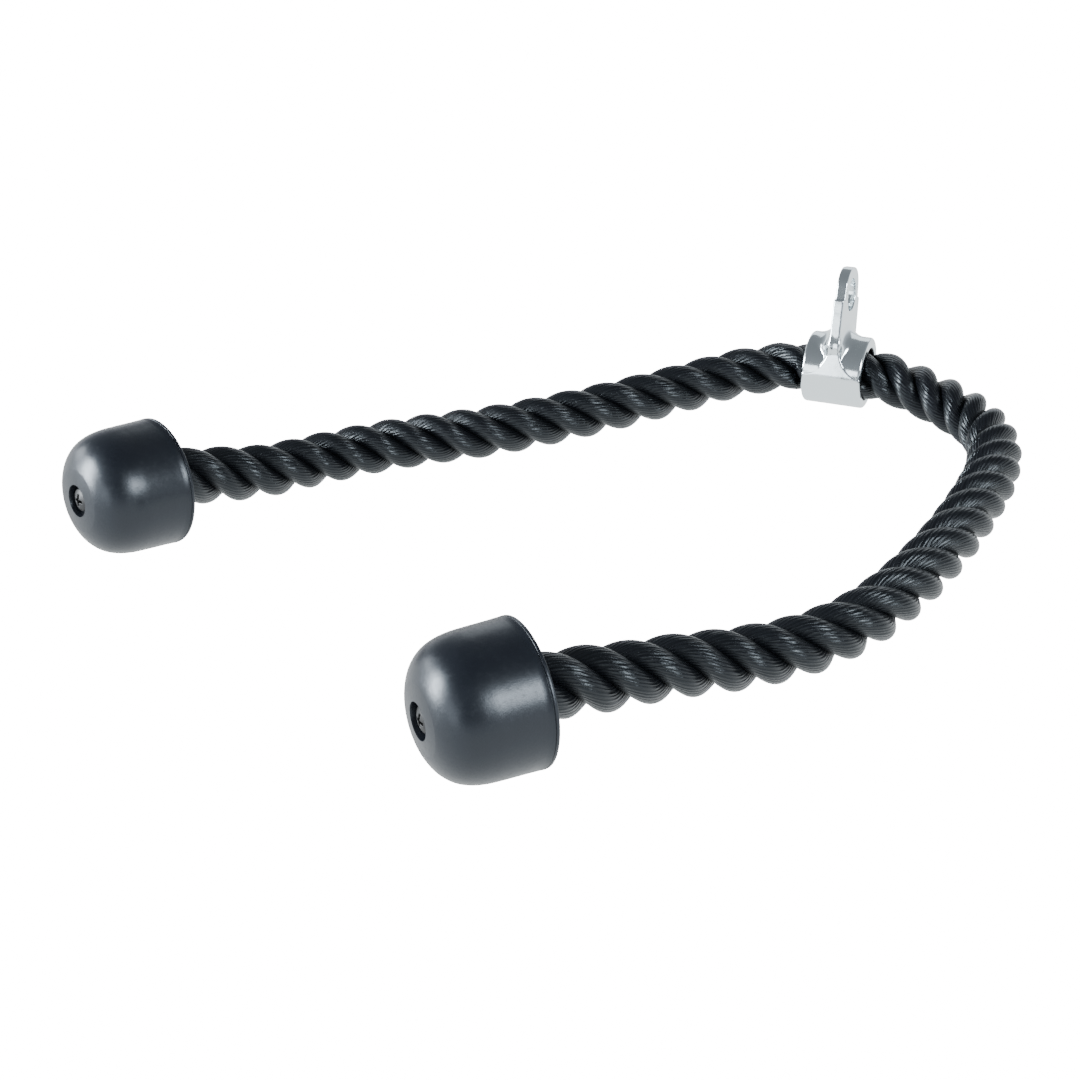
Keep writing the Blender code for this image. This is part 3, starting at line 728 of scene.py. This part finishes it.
screw_shaded_steel = steel_finish("screw_shaded_steel", SCREW_SHADED_TONE, SCREW_ROUGHNESS)
screw_low = (-SCREW_REACH, -SCREW_REACH, SCREW_TIP - SCREW_MARGIN)
screw_high = (SCREW_REACH, SCREW_REACH, CAP_LENGTH)
screw_points, screw_quads = surface_of(screw_distance, screw_low, screw_high, SCREW_CELL)
for arm in ARMS:
    smooth_piece(f"{arm}_cross_screw", placed(arm, screw_points), screw_quads, screw_shaded_steel, f"{arm}_screw",
                 f"{arm}_outer_arm")

# Studio: a bright white floor under grey surroundings, soft boxes round the object, and the camera at the
# photograph's angle. The camera sees plain burnt-out white in place of floor and surroundings, so that an
# arm that hangs lower than the floor stays in sight.

CAMERA_PLACE = (0.33894, -0.63100, 0.39955)
CAMERA_YAW, CAMERA_PITCH, CAMERA_ROLL = 25.0, 30.278, 2.663
SENSOR, FOCAL_PIXELS, IMAGE_PIXELS = 36.0, 1700.0, 1080.0
FLOOR_SIZE, FLOOR_GLOW, FLOOR_TINT = 30, 1.75, (0.94, 0.985, 1.0, 1)
BURNT_OUT = (17.0, 17.0, 17.0, 1)
# Brightness of the surroundings at heights above the horizon, as sines
SURROUNDINGS = ((0.0, 1.9), (0.07, 1.2), (0.16, 0.62), (0.45, 0.36), (1.0, 0.28))
SURROUNDINGS_TINT = (0.87, 0.93, 1.0)
LAMP_COLOR = (0.90, 0.96, 1.0)
# Bearing clockwise from +Y and height above the floor in degrees, distance, width, height of the box, power
SOFT_BOXES = {
    "left_box": (-121, 20, 1.8, 0.56, 0.90, 96),
    "left_window": (-90, 18, 1.8, 0.60, 0.50, 8),
    "right_box": (112, 30, 1.8, 0.62, 0.66, 33),
    "front_panel": (-160, 13, 2.2, 1.00, 0.80, 9),
    "back_panel": (-5, 21, 2.4, 2.40, 1.00, 11),
}

bpy.ops.mesh.primitive_plane_add(size=FLOOR_SIZE)
floor = bpy.context.object
floor.name = "studio_floor"
floor.visible_camera = False
paper = Finish("studio_paper", Base_Color=(0, 0, 0, 1), Roughness=1.0, Specular_IOR_Level=0.0,
               Emission_Color=FLOOR_TINT, Emission_Strength=FLOOR_GLOW)
floor.data.materials.append(paper.material)

for name, (bearing_deg, height_deg, distance, width, tall, power) in SOFT_BOXES.items():
    lamp = bpy.data.lights.new(name, "AREA")
    lamp.shape, lamp.size, lamp.size_y, lamp.energy = "RECTANGLE", width, tall, power
    lamp.color = LAMP_COLOR
    box = bpy.data.objects.new(name, lamp)
    bpy.context.collection.objects.link(box)
    bearing, height = math.radians(bearing_deg), math.radians(height_deg)
    level = math.cos(height)
    toward = Vector((math.sin(bearing) * level, math.cos(bearing) * level, math.sin(height)))
    box.location = toward * distance
    box.rotation_euler = toward.to_track_quat("Z", "Y").to_euler()

world = bpy.data.worlds.new("studio")
bpy.context.scene.world = world
world.use_nodes = True
sky = world.node_tree
direction, split = sky.nodes.new("ShaderNodeTexCoord"), sky.nodes.new("ShaderNodeSeparateXYZ")
ramp, seen = sky.nodes.new("ShaderNodeValToRGB"), sky.nodes.new("ShaderNodeLightPath")
shown = sky.nodes.new("ShaderNodeMix")
shown.data_type = "RGBA"
shown.inputs[7].default_value = BURNT_OUT
sky.links.new(direction.outputs["Generated"], split.inputs[0])
sky.links.new(split.outputs["Z"], ramp.inputs[0])
sky.links.new(seen.outputs["Is Camera Ray"], shown.inputs["Factor"])
sky.links.new(ramp.outputs["Color"], shown.inputs[6])
sky.links.new(shown.outputs[2], sky.nodes["Background"].inputs["Color"])
stops = ramp.color_ramp.elements
for _ in SURROUNDINGS[2:]:
    stops.new(1.0)
for stop, (height, brightness) in zip(stops, SURROUNDINGS):
    stop.position, stop.color = height, (*(brightness * tint for tint in SURROUNDINGS_TINT), 1)

lens = bpy.data.cameras.new("camera")
lens.sensor_width, lens.lens = SENSOR, SENSOR * FOCAL_PIXELS / IMAGE_PIXELS
camera = bpy.data.objects.new("camera", lens)
bpy.context.collection.objects.link(camera)
yaw = Matrix.Rotation(math.radians(CAMERA_YAW), 4, "Z")
pitch = Matrix.Rotation(math.radians(90 - CAMERA_PITCH), 4, "X")
roll = Matrix.Rotation(math.radians(-CAMERA_ROLL), 4, "Z")
camera.matrix_world = Matrix.Translation(CAMERA_PLACE) @ yaw @ pitch @ roll
bpy.context.scene.camera = camera
